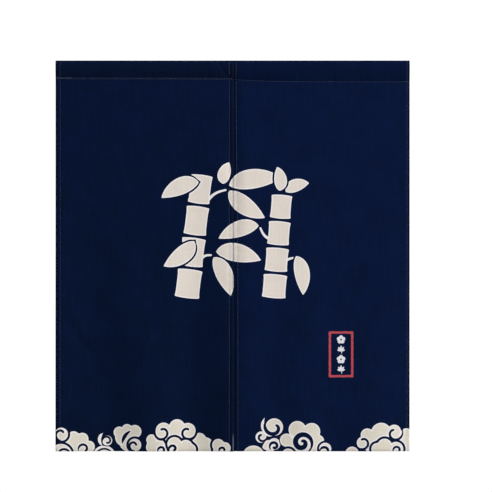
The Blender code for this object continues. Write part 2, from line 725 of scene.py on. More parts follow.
@dataclass(frozen=True)
class Seam:
    """The line where a pocket is sewn down.

    Attributes:
        at_slit, at_side: its depth below the top fold at the slit and at the side.
        settles_over: distance over which it goes from the one to the other.
        panel_width: the whole panel's width.
    """

    at_slit: float
    at_side: float
    settles_over: float
    panel_width: float = 0.410

    def depth(self, x: Array | float) -> Array | float:
        """Depth of the seam below the top fold.

        Args:
            x: places across, whose distance from the slit counts.

        Returns:
            The depth at each place.
        """
        end = math.exp(-self.panel_width / self.settles_over)
        share = (np.exp(-np.abs(x) / self.settles_over) - end) / (1.0 - end)
        return self.at_side + (self.at_slit - self.at_side) * share


@dataclass(frozen=True)
class Tuck:
    """How the right panel's inner edge lies back behind the left panel's.

    Attributes:
        back: how far back it lies.
        lap_edge: x of the left panel's edge.
        width_at_seam, width_at_hem: distance over which the cloth comes forward again.
    """

    back: float = 0.0024
    lap_edge: float = 0.0025
    width_at_seam: float = 0.018
    width_at_hem: float = 0.046

    def push(self, x: Array, z: Array) -> Array:
        """How far the cloth is tucked back.

        Args:
            x: places across.
            z: their heights.

        Returns:
            How far back each place goes, in metres.
        """
        width = self.width_at_seam + (self.width_at_hem - self.width_at_seam) * -z / DROP
        return self.back * (1.0 - smooth((x - self.lap_edge) / width))


@dataclass
class Sheet:
    """A flat cut of cloth with turned hems on its back, before it is hung.

    Attributes:
        name: the finished piece's name.
        span: its left and right edges.
        hems: widths of its left and right hems.
        cell: size of the mesh's cells.
        cloth: thickness of one layer.
        hemmed: thickness where a hem is turned.
        hem_step: width over which the hem's thickness begins.
    """

    name: str
    span: tuple[float, float]
    hems: tuple[float, float]
    cell: float = 5.0 * MM
    cloth: float = 0.8 * MM
    hemmed: float = 1.8 * MM
    hem_step: float = 1.0 * MM

    def hem_lines(self) -> tuple[float, float]:
        """Where the two side hems end, which is where they are stitched."""
        return self.span[0] + self.hems[0], self.span[1] - self.hems[1]

    def cut(self, length: float, lower_hem: float, lines: list[float] | None = None) -> bmesh.types.BMesh:
        """Cut the flat sheet as a closed mesh, standing in X and Z with its back towards +Y.

        Args:
            length: the sheet's length; it runs from z = 0 down to -length.
            lower_hem: depth of the hem along its lower end, or 0.
            lines: more places in x where the mesh gets an edge.

        Returns:
            The sheet, its front at y = 0 and its back at the cloth's thickness.
        """
        left, right = self.span
        left_hem, right_hem = self.hem_lines()
        bm = bmesh.new()
        columns, rows = round((right - left) / self.cell), round(length / self.cell)
        bmesh.ops.create_grid(bm, x_segments=columns, y_segments=rows, size=0.5)
        for vert in bm.verts:
            vert.co = (left + (right - left) * (vert.co.x + 0.5), 0.0, length * (vert.co.y - 0.5))
        across = [left_hem, left_hem + self.hem_step, right_hem - self.hem_step, right_hem, *(lines or [])]
        down = [lower_hem - length, lower_hem - length + self.hem_step] if lower_hem else []
        planes = [((x, 0.0, 0.0), (1.0, 0.0, 0.0)) for x in across]
        planes += [((0.0, 0.0, z), (0.0, 0.0, 1.0)) for z in down]
        for place, normal in planes:
            everything = bm.verts[:] + bm.edges[:] + bm.faces[:]
            bmesh.ops.bisect_plane(bm, geom=everything, dist=1e-6, plane_co=place, plane_no=normal)
        made = bmesh.ops.extrude_face_region(bm, geom=bm.faces[:], use_keep_orig=True)["geom"]
        near = self.hem_step / 2
        for part in made:
            if isinstance(part, bmesh.types.BMVert):
                x, _, z = part.co
                turned = x < left_hem + near or x > right_hem - near or z < lower_hem - length + near
                part.co.y = self.hemmed if turned and (lower_hem or z > -length) else self.cloth
        bmesh.ops.recalc_face_normals(bm, faces=bm.faces[:])
        for face in bm.faces:
            face.material_index = int(face.normal.y > 0.5)
        self.round_edges(bm)
        return bm

    def round_edges(self, bm: bmesh.types.BMesh) -> None:
        """Round the sheet's cut edges a little.

        Args:
            bm: the sheet.
        """
        rim = [edge for edge in bm.edges if len(edge.link_faces) == 2 and edge.calc_face_angle() > 1.2]
        bmesh.ops.bevel(
            bm, geom=rim, offset=0.28 * self.cloth, offset_type="OFFSET", affect="EDGES",
            segments=2, profile=0.5, material=-1, clamp_overlap=True,
        )

    def finish(
        self, bm: bmesh.types.BMesh, place: Callable[..., Array], finishes: list[Finish]
    ) -> Piece:
        """Hang the cut sheet and make it a piece.

        Args:
            bm: the flat sheet.
            place: a function from arrays of x, thickness and z to an array of hung places.
            finishes: the face's and the reverse's material.

        Returns:
            The piece, with the flat cloth's places kept in a UV map in metres.
        """
        mesh = bpy.data.meshes.new(self.name)
        bm.to_mesh(mesh)
        bm.free()
        flat = np.empty(3 * len(mesh.vertices))
        mesh.vertices.foreach_get("co", flat)
        x, thick, z = flat.reshape(-1, 3).T
        mesh.vertices.foreach_set("co", place(x, thick, z).ravel())
        corner = np.empty(len(mesh.loops), dtype=np.int32)
        mesh.loops.foreach_get("vertex_index", corner)
        cloth_map = mesh.uv_layers.new(name="cloth")
        cloth_map.uv.foreach_set("vector", np.stack([x[corner], z[corner]], axis=1).ravel())
        for material in finishes:
            mesh.materials.append(material)
        mesh.shade_smooth()
        mesh.set_sharp_from_angle(angle=math.radians(55.0))
        mesh.update()
        piece = bpy.data.objects.new(self.name, mesh)
        bpy.context.scene.collection.objects.link(piece)
        return piece


@dataclass
class Panel(Sheet):
    """One hanging, printed cloth.

    Attributes:
        seam: the seam it hangs from.
        folds: the folds and creases in it.
        lower_hem: depth of the hem along the lower edge.
        pucker, pucker_width: how deep a hem's stitching draws the cloth in, and how wide.
        hem_wave, hem_wave_width: how far the cloth waves beside a hem, and how wide.
        top_gap: how far below the seam line the cloth's top lies.
        seam_pucker, seam_pucker_width: how deep the seam draws the cloth in, and how wide.
        seam_ridge, seam_ridge_fade: how far the turned edge behind the seam pushes the cloth out,
            and over what depth that fades.
        gathers, gathers_fade: how far the cloth waves below the seam, and over what depth that fades.
        slack: how far the loose cloth waves, in full from slack_from below the seam on.
        edge_roll, roll_reach: how far the lower edge rolls back, and over what height.
        lean: how much further in the left hem's stitching runs low down than at the seam.
        slit_edge: x of the line along which the left panel laps over the right one.
        slit_side: -1 on the left panel, whose own folded edge it is, and 1 on the right one.
        slit_shade_strip: width beside it where the ink lies thinned, as painted shade of the rolled edge.
        worn: what the distance to the ink's edge counts as there, in millimetres; it thins the ink as
            painted shade.
        whole_ink: how far inside its edge, in millimetres, the ink counts as whole.
        ink_end: how many times as steeply as at its own edge the ink ends at the slit.
        print_cuts: new points on each edge of a cell that an edge of the print crosses.
    """

    seam: Seam = None
    folds: tuple[Fold | Crease | Tuck, ...] = ()
    lower_hem: float = 6.0 * MM
    pucker: float = 0.35 * MM
    pucker_width: float = 1.6 * MM
    hem_wave: float = 0.28 * MM
    hem_wave_width: float = 14.0 * MM
    top_gap: float = 0.05 * MM
    seam_pucker: float = 0.30 * MM
    seam_pucker_width: float = 1.4 * MM
    seam_ridge: float = 1.0 * MM
    seam_ridge_fade: float = 4.0 * MM
    gathers: float = 0.45 * MM
    gathers_fade: float = 16.0 * MM
    slack: float = 0.25 * MM
    slack_from: float = 0.12
    edge_roll: float = 3.2 * MM
    roll_reach: float = 3.6 * MM
    lean: float = 0.0
    slit_edge: float = 0.0
    slit_side: float = 1.0
    slit_shade_strip: float = 0.8 * MM
    worn: float = -0.50
    whole_ink: float = 60.0
    ink_end: float = 3.0
    print_cuts: int = 3

    def push(self, x: Array, z: Array) -> Array:
        """How far the middle of the cloth lies behind the flat.

        Args:
            x: places across.
            z: their heights.

        Returns:
            How far back each place goes, in metres.
        """
        depth = sum(fold.push(x, z) for fold in self.folds)
        for line in self.hem_lines():
            drawn = 1.0 + 0.6 * ripple(z, 14.0 * MM, line)
            depth = depth + self.pucker * drawn * bell(x - line, self.pucker_width)
            wave = ripple(z + 0.3 * x, 22.0 * MM, 3.0 * line)
            depth = depth + self.hem_wave * bell(x - line, self.hem_wave_width) * wave
        below = -z - self.seam.depth(x)
        depth = depth + self.seam_pucker * bell(below, self.seam_pucker_width)
        depth = depth - self.seam_ridge * np.exp(-below / self.seam_ridge_fade)
        depth = depth + self.gathers * np.exp(-below / self.gathers_fade) * ripple(x, 26.0 * MM, 0.4)
        waves = ripple(x + 0.35 * z, 61.0 * MM, 0.2) * ripple(z - 0.2 * x, 83.0 * MM, 0.7)
        rolled = self.edge_roll * np.exp(-(z + DROP) / self.roll_reach)
        return depth + self.slack * smooth(below / self.slack_from) * waves + rolled

    def front(self, x: Array, z: Array) -> Array:
        """Where the hung cloth's face lies, as y, at each x, z."""
        return self.push(x, z) - self.cloth / 2

    def refine(self, bm: bmesh.types.BMesh, artwork: Artwork) -> None:
        """Divide the face's cells that an edge of the print crosses, so that its edges are true.

        Args:
            bm: the flat sheet.
            artwork: the print.
        """
        faces = [vert for vert in bm.verts if vert.co.y < 1e-6]
        x, thick, z = np.array([vert.co for vert in faces]).T
        hung = self.hang(x, thick, z)
        distances = artwork.distances(hung[:, 0] / MM, (hung[:, 2] + DROP) / MM)
        nearest = np.min([np.abs(distance) for distance in distances.values()], axis=0)
        crossed = {vert for vert, near in zip(faces, nearest < 1.3 * self.cell / MM) if near}
        edges = [edge for edge in bm.edges if edge.verts[0] in crossed and edge.verts[1] in crossed]
        bmesh.ops.subdivide_edges(bm, edges=edges, cuts=self.print_cuts, use_grid_fill=True)

    def build(self, artwork: Artwork, finishes: list[Finish]) -> Piece:
        """Cut, print and hang the panel.

        Args:
            artwork: the print.
            finishes: the face's and the reverse's material.

        Returns:
            The hung panel.
        """
        left_line, right_line = self.hem_lines()
        lines = [left_line - self.hem_step, right_line + self.hem_step]
        lines += [self.slit_edge + self.slit_side * step * 0.5 * MM for step in range(7)]
        bm = self.cut(DROP, self.lower_hem, lines)
        self.refine(bm, artwork)
        piece = self.finish(bm, self.hang, finishes)
        artwork.print_on(piece, self.bare_and_slit_shade)
        return piece

    def bare_and_slit_shade(self, x: Array, y: Array, z: Array) -> Array:
        """Where the ink lies thinned along the slit, as painted shade of the rolled edge, and where the lap
        and the fold kept it off.

        Args:
            x: hung places across.
            y: hung places from front to back, which make no difference.
            z: heights, which make none either.

        Returns:
            For each point the least that its distance to the ink's edge counts as.
        """
        beside = self.slit_side * (x - self.slit_edge)
        # Painted shade: in the strip the ink lies thinned; at the folded edge and under the lap none is
        # laid.
        rubbed = np.where(beside < self.slit_shade_strip, self.worn, -self.whole_ink)
        return np.maximum(rubbed, -self.ink_end * beside / MM)

    def hang(self, x: Array, thick: Array, z: Array) -> Array:
        """Move flat places to the hung cloth, its top cut along the seam.

        Args:
            x: places across.
            thick: how far each lies behind the face.
            z: heights on the flat cloth.

        Returns:
            The hung places, as rows of x, y, z.
        """
        top = -self.seam.depth(x) - self.top_gap
        hung = -DROP + (z + DROP) / DROP * (top + DROP)
        return np.stack([x + self.drift(x, hung), self.front(x, hung) + thick, hung], axis=1)

    def drift(self, x: Array, z: Array | float) -> Array:
        """How far each place lies to the right of its x, because the left hem's stitching leans."""
        return self.lean * (smooth(-z / 0.62) - 0.5) * bell(x - self.hem_lines()[0], 10.0 * MM)


@dataclass
class Pocket(Sheet):
    """The strip turned over at a panel's top and sewn down, open at both ends for a rod.

    Attributes:
        seam: where it is sewn down.
        panel: the panel below it.
        folds: creases in its front wall.
        bulge: half its depth from front to back, where it is fullest.
        turned_below: how far the turned edge reaches below the seam on the back.
        strip: length of the flat strip, from the front seam over the top to the back.
        section_peak: the most that sin(turn) * sin(turn / 2) reaches, which scales its section.
        gathers, gathers_fade: how far its walls wave above the seam, and over what height that fades.
        hem_mark, hem_mark_width: how far a hem's stitching draws a wall in, and how wide.
    """

    seam: Seam = None
    panel: Panel = None
    folds: tuple[Crease, ...] = ()
    cell: float = 3.5 * MM
    bulge: float = 6.9 * MM
    turned_below: float = 2.0 * MM
    strip: float = 0.090
    section_peak: float = 4.0 / (3.0 * math.sqrt(3.0))
    gathers: float = 0.5 * MM
    gathers_fade: float = 11.0 * MM
    hem_mark: float = 0.3 * MM
    hem_mark_width: float = 1.6 * MM

    def section(self, x: Array, share: Array) -> tuple[Array, Array]:
        """The pocket's outer face: from the front seam over the top fold to the back seam.

        Args:
            x: places along the pocket.
            share: 0 at the front seam, 0.5 at the top fold and 1 at the back.

        Returns:
            y and z of the outer face.
        """
        depth = self.seam.depth(x)
        turn = 2.0 * np.pi * share
        low = ((1.0 + np.cos(turn)) / 2) ** 4
        full = self.bulge * (1.0 + 0.07 * ripple(x, 0.12, 0.5))
        y = -full * np.sin(turn) * np.sin(turn / 2) / self.section_peak
        y = y + (-self.cloth / 2 + (self.cloth / 2 + self.hemmed + 0.2 * MM) * smooth(share * 1.6 - 0.3))
        z = -depth * (1.0 + np.cos(turn)) / 2 - self.turned_below * smooth((share - 0.93) / 0.07)
        seam_push = self.panel.push(x, -depth)
        return y + low * seam_push + self.draw_in(x, z, share), z

    def draw_in(self, x: Array, z: Array, share: Array) -> Array:
        """Small gathers above the seam, the hems' stitching and the creases of the front wall.

        Args:
            x: places along the pocket.
            z: their heights.
            share: 0 at the front seam, 0.5 at the top fold and 1 at the back.

        Returns:
            How far each place is drawn in from the plain section, in metres.
        """
        above = (z + self.seam.depth(x)).clip(0.0)
        gathers = self.gathers * ripple(x, 19.0 * MM, 0.1) * np.exp(-above / self.gathers_fade)
        gathers = gathers * smooth(above / (2.0 * MM))
        front = smooth((0.5 - share) / 0.1)
        creases = sum((fold.push(x, z) for fold in self.folds), np.zeros_like(x))
        hems = sum(self.hem_mark * bell(x - line, self.hem_mark_width) for line in self.hem_lines())
        return front * (gathers + creases + hems) - (1.0 - front) * (gathers + hems)

    def wrap(self, x: Array, thick: Array, z: Array) -> Array:
        """Move flat places to the turned-over strip, its thickness laid inwards.

        Args:
            x: places along the strip.
            thick: how far each lies inside the outer face.
            z: heights on the flat strip.

        Returns:
            The places on the pocket, as rows of x, y, z.
        """
        share = 1.0 + z / self.strip
        step = 1e-4
        y, up = self.section(x, share)
        y_on, up_on = self.section(x, np.minimum(share + step, 1.0))
        y_back, up_back = self.section(x, np.maximum(share - step, 0.0))
        dy, dz = y_on - y_back, up_on - up_back
        size = np.maximum(np.hypot(dy, dz), 1e-12)
        return np.stack([x, y + thick * dz / size, up - thick * dy / size], axis=1)

    def build(self, finishes: list[Finish]) -> Piece:
        """Cut and turn the strip.

        Args:
            finishes: the face's and the reverse's material.

        Returns:
            The pocket.
        """
        return self.finish(self.cut(self.strip, 0.0), self.wrap, finishes)


@dataclass
class Sewing:
    """Rows of lock stitches, joined into one piece.

    Attributes:
        name: the piece's name.
        pitch: distance from one stitch to the next.
        length: visible length of a stitch.
        thread: thickness of the thread.
        places: where each stitch sewn so far lies.
    """

    name: str
    pitch: float = 3.3 * MM
    length: float = 2.7 * MM
    thread: float = 0.90 * MM
    places: list[Matrix] = field(default_factory=list)

    def stitch(self, start: Vector, end: Vector, thickness: float) -> None:
        """Lay one stitch, thick in its middle.

        Args:
            start: where it comes out of the cloth.
            end: where it goes in again.
            thickness: its thickness.
        """
        ahead = end - start
        turn = ahead.to_track_quat("Z", "Y").to_matrix().to_4x4()
        size = Matrix.Diagonal((thickness / 2, thickness / 2, ahead.length / 2, 1.0))
        self.places.append(Matrix.Translation((start + end) / 2) @ turn @ size)

    def run(self, path: Array, weight: float = 1.0) -> None:
        """Sew along a path.

        Args:
            path: points on the cloth, as rows of x, y, z.
            weight: thickness of the thread beside the usual.
        """
        steps = np.linalg.norm(np.diff(path, axis=0), axis=1)
        along = np.concatenate([[0.0], np.cumsum(steps)])
        count = int(along[-1] / self.pitch)
        starts = (np.arange(count) + 0.1) * self.pitch + 0.12 * self.pitch * ripple(np.arange(count), 5.3)
        for start in starts:
            ends = [
                Vector([np.interp(place, along, path[:, axis]) for axis in range(3)])
                for place in (start, start + self.length)
            ]
            self.stitch(*ends, self.thread * weight)

    def build(self, material: Finish) -> Piece:
        """Make the piece.

        Args:
            material: the thread's finish.

        Returns:
            All the stitches as one piece.
        """
        bm = bmesh.new()
        bmesh.ops.create_uvsphere(bm, u_segments=6, v_segments=4, radius=1.0)
        stitch = bpy.data.meshes.new("stitch")
        bm.to_mesh(stitch)
        bm.clear()
        for place in self.places:
            laid = stitch.copy()
            laid.transform(place)
            bm.from_mesh(laid)
            bpy.data.meshes.remove(laid)
        bpy.data.meshes.remove(stitch)
        mesh = bpy.data.meshes.new(self.name)
        bm.to_mesh(mesh)
        bm.free()
        mesh.shade_smooth()
        mesh.materials.append(material)
        piece = bpy.data.objects.new(self.name, mesh)
        bpy.context.scene.collection.objects.link(piece)
        return piece


# Finishes.


def linear(hex_colour: str) -> tuple[float, float, float, float]:
    """Turn an sRGB hex colour into linear red, green, blue and alpha."""
    channels = [int(hex_colour[i:i + 2], 16) / 255.0 for i in (1, 3, 5)]
    return tuple(c / 12.92 if c <= 0.04045 else ((c + 0.055) / 1.055) ** 2.4 for c in channels) + (1.0,)


def add_node(tree: Tree, kind: str, inputs: dict | None = None, **settings) -> bpy.types.Node:
    """Add a node with its settings and links.

    Args:
        tree: the material's or world's tree.
        kind: the node's type.
        inputs: input to the socket that is linked there, or to the value it is set to.
        settings: the node's own properties.

    Returns:
        The node.
    """
    node = tree.nodes.new(kind)
    for name, value in settings.items():
        setattr(node, name, value)
    for name, value in (inputs or {}).items():
        if isinstance(value, Socket):
            tree.links.new(value, node.inputs[name])
        else:
            node.inputs[name].default_value = value
    return node


def new_material(name: str) -> tuple[Finish, Tree, bpy.types.Node]:
    """Make an empty node material.

    Args:
        name: its name.

    Returns:
        The material, its tree and its Principled shader.
    """
    material = bpy.data.materials.new(name)
    material.use_nodes = True
    return material, material.node_tree, material.node_tree.nodes["Principled BSDF"]


# Blender's Mix node has a socket of each kind under one name, so its colour sockets go by number.
MIX_FACTOR, MIX_FIRST, MIX_SECOND, MIX_RESULT = 0, 6, 7, 2


@dataclass(frozen=True)
class PrintInk:
    """Opaque pigment ink, screen-printed: dry and matt, and laid thicker along its edges.

    Attributes:
        column: the mesh's column that holds the distance to the design's edge, in millimetres.
        colour: the ink's colour.
        edge_colour: its colour along its edges, where the stencil leaves more of it.
        rough_edge: how far its edge strays with the cloth's grain, in millimetres.
        grain: that grain's spots in a metre.
        covers: distances to its edge, in millimetres, at which it covers wholly and not at all.
        cloth_cover, slub_cover: how much of the cloth shows no ground through it, on fine threads
            and on thick ones.
        rim: distances to its edge, in millimetres, between which it takes on its edge colour.
    """

    column: str
    colour: str
    edge_colour: str
    rough_edge: float = 0.7
    grain: float = 700.0
    covers: tuple[float, float] = (-0.45, 0.15)
    cloth_cover: float = 0.97
    slub_cover: float = 0.90
    rim: tuple[float, float] = (-3.6, -2.3)

    def lay(
        self, tree: Tree, place: Socket, slubs: Socket, under: Socket, opacity: float = 1.0
    ) -> Socket:
        """Lay the ink over what is under it, its edge a little uneven and thinner on thick threads.

        Args:
            tree: the material's tree.
            place: the place on the cloth or thread.
            slubs: the thread streaks.
            under: the colour so far.
            opacity: how much of the ink shows on this side.

        Returns:
            A socket with the colour.
        """
        edge = add_node(tree, "ShaderNodeAttribute", attribute_name=self.column).outputs["Fac"]
        grain = add_node(
            tree, "ShaderNodeTexNoise", {"Vector": place, "Scale": self.grain, "Detail": 1.0}
        )
        worn = add_node(
            tree, "ShaderNodeMath", {0: grain.outputs["Fac"], 1: self.rough_edge, 2: edge},
            operation="MULTIPLY_ADD",
        )
        cover = add_node(
            tree, "ShaderNodeMapRange",
            {0: worn.outputs[0], 1: self.covers[0], 2: self.covers[1], 3: opacity, 4: 0.0},
        )
        thin = add_node(
            tree, "ShaderNodeMapRange",
            {0: slubs, 1: 0.35, 2: 0.65, 3: self.cloth_cover, 4: self.slub_cover},
        )
        share = add_node(
            tree, "ShaderNodeMath", {0: cover.outputs[0], 1: thin.outputs[0]}, operation="MULTIPLY"
        )
        rim = add_node(tree, "ShaderNodeMapRange", {0: edge, 1: self.rim[0], 2: self.rim[1]})
        inner, outer = linear(self.colour), linear(self.edge_colour)
        ink = add_node(
            tree, "ShaderNodeMix", {MIX_FACTOR: rim.outputs[0], MIX_FIRST: inner, MIX_SECOND: outer},
            data_type="RGBA",
        )
        mixed = add_node(
            tree, "ShaderNodeMix",
            {MIX_FACTOR: share.outputs[0], MIX_FIRST: under, MIX_SECOND: ink.outputs[MIX_RESULT]},
            data_type="RGBA",
        )
        return mixed.outputs[MIX_RESULT]


INKS = (
    # the clouds' ink is a little darker than the bamboo's, as painted shade of the weaker light low on the
    # cloth
    PrintInk("cloud_print", "#D2CCC0", "#E5E1E2"),
    PrintInk("bamboo_print", "#DDD4CB", "#EEEAEC"),
    PrintInk("border_print", "#B0484F", "#B0484F"),
    PrintInk("figure_print", "#DADAE2", "#DADAE2"),
)


@dataclass(frozen=True)
class Hem:
    """A turned side hem, as the cotton's finish sees it.

    Attributes:
        edge: the folded edge's place across the cloth.
        line: where the hem is stitched.
        depth: the dye's brightness on its two layers beside the rest.
        rubbed: how far the folded edge is rubbed pale.
        rubbed_low: the same along its last few centimetres.
        low: heights above the lower edge between which the one goes over into the other.
    """

    edge: float
    line: float
    depth: float = 0.78
    rubbed: float = 0.0
    rubbed_low: float = 0.0
    low: tuple[float, float] = (0.030, 0.046)


@dataclass(frozen=True)
class SlubCotton:
    """Plain-woven slub cotton, piece-dyed navy and screen-printed on its face.

    Its uneven threads give faint streaks, stronger down the cloth, and it is dry and matt with
    hardly any gloss. Two layers of it look a little deeper, and its folded edges rub pale. Its navy is
    painted darker towards the lower edge, as painted shade.
    The threads are really about 0.5 mm apart, and are drawn three times as coarse, to show.

    Attributes:
        name: the material's name.
        ground: the dyed cloth, its lightest and its darkest threads, also the ends of the painted shade.
        painted_shade_down: how far the colour goes from the light to the dark one down the drop, as painted
            shade.
        rubbed_colour: a folded edge that is rubbed wholly pale.
        opacity: how much of the ink shows on this side.
        printed: whether this side shows the print.
        hems: its side hems.
        thread_pitch: distance between threads, as drawn.
        warp_slubs, weft_slubs: thread streaks in a metre, across and down.
        warp_share, weft_share: how much of the streaks each of them makes.
        weave_share: the weave's height beside the streaks'.
        weave_height: how far both stand out.
        patches: soft patches of dye in a metre.
        patch_share: how strong they are beside the streaks.
        roughness, gloss: how dry and matt the cotton is.
    """

    name: str
    ground: tuple[str, str] = ("#061434", "#040F26")
    painted_shade_down: float = 0.5
    rubbed_colour: str = "#5C667C"
    opacity: float = 1.0
    printed: bool = True
    hems: list[Hem] = field(default_factory=list)
    thread_pitch: float = 1.6 * MM
    warp_slubs: tuple[float, float] = (420.0, 14.0)
    weft_slubs: tuple[float, float] = (16.0, 460.0)
    warp_share: float = 0.64
    weft_share: float = 0.36
    weave_share: float = 0.35
    weave_height: float = 0.10 * MM
    patches: float = 16.0
    patch_share: float = 0.35
    roughness: float = 0.9
    gloss: float = 0.03

    def build(self) -> Finish:
        """Make the material.

        Returns:
            The material.
        """
        material, tree, shader = new_material(self.name)
        place = add_node(tree, "ShaderNodeUVMap", uv_map="cloth").outputs["UV"]
        slubs, height = self.weave(tree, place)
        colour = self.dyed(tree, place, slubs)
        for hem in self.hems:
            colour = self.turn_hem(tree, place, colour, hem)
        for ink in INKS if self.printed else ():
            colour = ink.lay(tree, place, slubs, colour, self.opacity)
        tree.links.new(colour, shader.inputs["Base Color"])
        bump = add_node(
            tree, "ShaderNodeBump", {"Height": height, "Strength": 0.5, "Distance": self.weave_height}
        )
        tree.links.new(bump.outputs["Normal"], shader.inputs["Normal"])
        shader.inputs["Roughness"].default_value = self.roughness
        shader.inputs["Specular IOR Level"].default_value = self.gloss
        return material

    def weave(self, tree: Tree, place: Socket) -> tuple[Socket, Socket]:
        """Thread streaks and the height of the weave.

        Args:
            tree: the material's tree.
            place: the flat cloth's place, in metres.

        Returns:
            Sockets with the streaks, about 0 to 1, and the height.
        """
        streaks = []
        for across, down in (self.warp_slubs, self.weft_slubs):
            stretched = add_node(
                tree, "ShaderNodeVectorMath", {0: place, 1: (across, down, 1.0)}, operation="MULTIPLY"
            )
            noise = add_node(
                tree, "ShaderNodeTexNoise",
                {"Vector": stretched.outputs[0], "Scale": 1.0, "Detail": 2.0, "Roughness": 0.6},
                noise_dimensions="2D",
            )
            streaks.append(noise.outputs["Fac"])
        warp, weft = streaks
        weft = add_node(tree, "ShaderNodeMath", {0: weft, 1: self.weft_share}, operation="MULTIPLY")
        slubs = add_node(
            tree, "ShaderNodeMath", {0: warp, 1: self.warp_share, 2: weft.outputs[0]},
            operation="MULTIPLY_ADD",
        )
        turns = 2.0 * math.pi / self.thread_pitch
        wave = add_node(
            tree, "ShaderNodeVectorMath", {0: place, 1: (turns, turns, 0.0)}, operation="MULTIPLY"
        )
        wave = add_node(tree, "ShaderNodeVectorMath", {0: wave.outputs[0]}, operation="SINE")
        parts = add_node(tree, "ShaderNodeSeparateXYZ", {0: wave.outputs[0]})
        over = add_node(
            tree, "ShaderNodeMath", {0: parts.outputs[0], 1: parts.outputs[1]}, operation="MULTIPLY"
        )
        height = add_node(
            tree, "ShaderNodeMath", {0: over.outputs[0], 1: self.weave_share, 2: slubs.outputs[0]},
            operation="MULTIPLY_ADD",
        )
        return slubs.outputs[0], height.outputs[0]

    def dyed(self, tree: Tree, place: Socket, slubs: Socket) -> Socket:
        """The dyed ground, with soft patches, thread streaks and painted shade towards the lower edge.

        Args:
            tree: the material's tree.
            place: the flat cloth's place.
            slubs: the thread streaks.

        Returns:
            A socket with its colour.
        """
        patches = add_node(
            tree, "ShaderNodeTexNoise", {"Vector": place, "Scale": self.patches, "Detail": 3.0},
            noise_dimensions="2D",
        )
        both = add_node(
            tree, "ShaderNodeMath", {0: patches.outputs["Fac"], 1: self.patch_share, 2: slubs},
            operation="MULTIPLY_ADD",
        )
        share = add_node(
            tree, "ShaderNodeMapRange", {0: both.outputs[0], 1: 0.52, 2: 0.83, 3: -0.4, 4: 0.4}
        )
        # Painted shade: the navy goes towards its darker colour further down the drop.
        height = add_node(tree, "ShaderNodeSeparateXYZ", {0: place}).outputs[1]
        ends = (0.5 - self.painted_shade_down / 2, 0.5 + self.painted_shade_down / 2)
        dyed = add_node(
            tree, "ShaderNodeMapRange", {0: height, 1: -DROP, 2: 0.0, 3: ends[0], 4: ends[1]}
        )
        share = add_node(
            tree, "ShaderNodeMath", {0: share.outputs[0], 1: dyed.outputs[0]},
            operation="ADD", use_clamp=True,
        )
        light, dark = (linear(colour) for colour in self.ground)
        mixed = add_node(
            tree, "ShaderNodeMix", {MIX_FACTOR: share.outputs[0], MIX_FIRST: dark, MIX_SECOND: light},
            data_type="RGBA",
        )
        return mixed.outputs[MIX_RESULT]

    def turn_hem(self, tree: Tree, place: Socket, under: Socket, hem: Hem) -> Socket:
        """A hem's two layers, a little deeper in colour, and its folded edge, rubbed pale.

        Args:
            tree: the material's tree.
            place: the flat cloth's place.
            under: the colour so far.
            hem: the hem.

        Returns:
            A socket with the colour.
        """
        side = math.copysign(1.0, hem.edge - hem.line)
        parts = add_node(tree, "ShaderNodeSeparateXYZ", {0: place})
        across, height = parts.outputs[0], parts.outputs[1]
        ends = (hem.line - 0.4 * MM * side, hem.line + 0.8 * MM * side)
        depth = add_node(
            tree, "ShaderNodeMapRange", {0: across, 1: ends[0], 2: ends[1], 3: 1.0, 4: hem.depth}
        )
        deeper = add_node(
            tree, "ShaderNodeVectorMath", {0: under, "Scale": depth.outputs[0]}, operation="SCALE"
        )
        ends = (hem.edge - 3.4 * MM * side, hem.edge - 1.6 * MM * side)
        near = add_node(tree, "ShaderNodeMapRange", {0: across, 1: ends[0], 2: ends[1]})
        low = add_node(
            tree, "ShaderNodeMapRange",
            {0: height, 1: hem.low[1] - DROP, 2: hem.low[0] - DROP, 3: hem.rubbed, 4: hem.rubbed_low},
        )
        share = add_node(
            tree, "ShaderNodeMath", {0: near.outputs[0], 1: low.outputs[0]}, operation="MULTIPLY"
        )
        under, pale = deeper.outputs[0], linear(self.rubbed_colour)
        mixed = add_node(
            tree, "ShaderNodeMix", {MIX_FACTOR: share.outputs[0], MIX_FIRST: under, MIX_SECOND: pale},
            data_type="RGBA",
        )
        return mixed.outputs[MIX_RESULT]


@dataclass(frozen=True)
class SewingThread:
    """Spun polyester sewing thread, twisted, a shade lighter than the cloth, with a faint sheen.

    The cloth was printed after it was sewn, so the print runs over the thread.

    Attributes:
        name: the material's name.
        colour: its darker and lighter stretches.
        uneven: those stretches in a metre.
        roughness, gloss: how matt it is, and how strong its sheen.
    """

    name: str = "spun_polyester_thread"
    colour: tuple[str, str] = ("#2B3853", "#414E69")
    uneven: float = 260.0
    roughness: float = 0.55
    gloss: float = 0.2

    def build(self) -> Finish:
        """Make the material.

        Returns:
            The material.
        """
        material, tree, shader = new_material(self.name)
        place = add_node(tree, "ShaderNodeTexCoord").outputs["Object"]
        uneven = add_node(
            tree, "ShaderNodeTexNoise", {"Vector": place, "Scale": self.uneven, "Detail": 1.0}
        )
        share = add_node(tree, "ShaderNodeMapRange", {0: uneven.outputs["Fac"], 1: 0.35, 2: 0.65})
        low, high = (linear(colour) for colour in self.colour)
        mixed = add_node(
            tree, "ShaderNodeMix", {MIX_FACTOR: share.outputs[0], MIX_FIRST: low, MIX_SECOND: high},
            data_type="RGBA",
        )
        printed = mixed.outputs[MIX_RESULT]
        for ink in INKS:
            printed = ink.lay(tree, place, uneven.outputs["Fac"], printed)
        tree.links.new(printed, shader.inputs["Base Color"])
        shader.inputs["Roughness"].default_value = self.roughness
        shader.inputs["Specular IOR Level"].default_value = self.gloss
        return material


